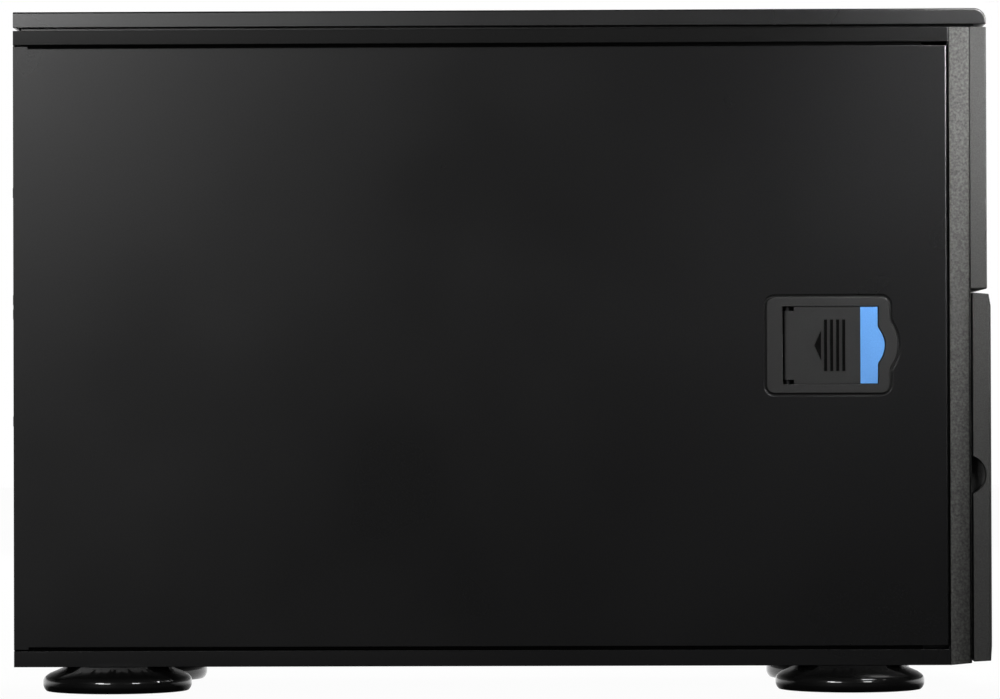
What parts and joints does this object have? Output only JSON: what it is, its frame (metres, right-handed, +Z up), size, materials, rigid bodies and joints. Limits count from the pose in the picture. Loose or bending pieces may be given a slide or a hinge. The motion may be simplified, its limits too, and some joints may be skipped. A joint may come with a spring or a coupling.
{
  "type": "tower server",
  "caption": "Black tower server on disc feet: sheet-metal chassis with a latched sliding side cover, hinged front door, hot-swap drives, fans, board and power supply",
  "frame": {"origin": "on the floor, in the middle of the outside box", "axes": "the front door faces -Y, the access cover -X, and +Z is up"},
  "size_m": [0.23, 0.652, 0.452],
  "materials": {
    "painted_steel": "fine satin black paint",
    "zinc_steel": "zinc plated",
    "cover_plastic": "smooth semi-gloss black",
    "bezel_plastic": "grained matt black",
    "latch_plastic": "fine matt dark grey",
    "grip_plastic": "satin sky blue",
    "foot_plastic": "polished black",
    "foot_rubber": "matt",
    "pin_steel": "ground",
    "lock_chrome": "polished",
    "fan_plastic": "matt black",
    "guard_plastic": "dark red-brown",
    "circuit_board": "green solder mask",
    "socket_plastic": "matt black",
    "sink_aluminium": "extruded",
    "drive_aluminium": "cast",
    "brass_post": "turned",
    "light_pipe": "clear",
    "button_plastic": "polished dark grey"
  },
  "bodies": {
    "chassis": {"floor_pan": "painted_steel", "roof_panel": "painted_steel", "right_wall": "painted_steel", "rear_wall": "painted_steel", "front_wall": "painted_steel", "fan_wall": "painted_steel", "drive_cage": "zinc_steel", "bay_cage": "zinc_steel", "psu_case": "zinc_steel", "slot_covers": "zinc_steel", "io_shield": "zinc_steel", "latch_strike": "zinc_steel", "io_ports": "zinc_steel", "usb_ports": "zinc_steel", "top_cover": "cover_plastic", "bezel_frame": "bezel_plastic", "upper_fascia": "bezel_plastic", "bay_blank_1": "bezel_plastic", "bay_blank_2": "bezel_plastic", "bay_blank_3": "bezel_plastic", "drive_trays": "bezel_plastic", "foot_front_left": "foot_plastic", "foot_front_right": "foot_plastic", "foot_rear_left": "foot_plastic", "foot_rear_right": "foot_plastic", "foot_pads": "foot_rubber", "door_hinge_pins": "pin_steel", "mid_fan_frames": "fan_plastic", "rear_fan_frames": "fan_plastic", "psu_fan_frame": "fan_plastic", "psu_inlet": "fan_plastic", "rear_fan_guards": "guard_plastic", "motherboard": "circuit_board", "control_board": "circuit_board", "drive_backplane": "circuit_board", "memory_modules": "circuit_board", "board_sockets": "socket_plastic", "cpu_heatsinks": "sink_aluminium", "hard_drives": "drive_aluminium", "board_standoffs": "brass_post", "light_pipes": "light_pipe"},
    "side_cover": {"side_panel": "painted_steel", "latch_housing": "latch_plastic", "latch_pin": "pin_steel"},
    "latch": {"latch_paddle": "latch_plastic", "latch_grip": "grip_plastic"},
    "door": {"front_door": "bezel_plastic", "door_grille": "bezel_plastic"},
    "lock": {"lock_barrel": "lock_chrome"},
    "power_push": {"power_button": "button_plastic"},
    "reset_push": {"reset_button": "button_plastic"},
    "mid_fan_1": {"mid_fan_rotor_1": "fan_plastic"},
    "mid_fan_2": {"mid_fan_rotor_2": "fan_plastic"},
    "mid_fan_3": {"mid_fan_rotor_3": "fan_plastic"},
    "mid_fan_4": {"mid_fan_rotor_4": "fan_plastic"},
    "rear_fan_1": {"rear_fan_rotor_1": "fan_plastic"},
    "rear_fan_2": {"rear_fan_rotor_2": "fan_plastic"},
    "psu_fan": {"psu_fan_rotor": "fan_plastic"}
  },
  "joints": [
    {"name": "cover_slide", "type": "slide", "parent": "chassis", "child": "side_cover", "axis": [0, 1, 0], "range_m": [0, 0.013]},
    {"name": "latch_swing", "type": "hinge", "parent": "side_cover", "child": "latch", "pos_m": [-0.0855, -0.1908, 0.2291], "axis": [0, 0, -1], "range_deg": [0, 50]},
    {"name": "door_swing", "type": "hinge", "parent": "chassis", "child": "door", "pos_m": [0.083, -0.3189, 0.1418], "axis": [0, 0, 1], "range_deg": [0, 110]},
    {"name": "lock_turn", "type": "hinge", "parent": "door", "child": "lock", "pos_m": [-0.076, -0.32, 0.20115], "axis": [0, 1, 0], "range_deg": [0, 90]},
    {"name": "power_press", "type": "slide", "parent": "chassis", "child": "power_push", "axis": [0, 1, 0], "range_m": [0, 0.0015], "stiffness_N_per_m": 800},
    {"name": "reset_press", "type": "slide", "parent": "chassis", "child": "reset_push", "axis": [0, 1, 0], "range_m": [0, 0.0015], "stiffness_N_per_m": 800},
    {"name": "mid_fan_1_spin", "type": "hinge", "parent": "chassis", "child": "mid_fan_1", "pos_m": [0, -0.037, 0.064], "axis": [0, 1, 0], "continuous": true},
    {"name": "mid_fan_2_spin", "type": "hinge", "parent": "chassis", "child": "mid_fan_2", "pos_m": [0, -0.037, 0.148], "axis": [0, 1, 0], "continuous": true},
    {"name": "mid_fan_3_spin", "type": "hinge", "parent": "chassis", "child": "mid_fan_3", "pos_m": [0, -0.037, 0.232], "axis": [0, 1, 0], "continuous": true},
    {"name": "mid_fan_4_spin", "type": "hinge", "parent": "chassis", "child": "mid_fan_4", "pos_m": [0, -0.037, 0.316], "axis": [0, 1, 0], "continuous": true},
    {"name": "rear_fan_1_spin", "type": "hinge", "parent": "chassis", "child": "rear_fan_1", "pos_m": [-0.03, 0.308, 0.216], "axis": [0, 1, 0], "continuous": true},
    {"name": "rear_fan_2_spin", "type": "hinge", "parent": "chassis", "child": "rear_fan_2", "pos_m": [-0.03, 0.308, 0.297], "axis": [0, 1, 0], "continuous": true},
    {"name": "psu_fan_spin", "type": "hinge", "parent": "chassis", "child": "psu_fan", "pos_m": [-0.028, 0.307, 0.3943], "axis": [0, 1, 0], "continuous": true}
  ],
  "couplings": [
    {"joint": "latch_swing", "follows": "cover_slide", "rad_per_m": 67.127}
  ]
}
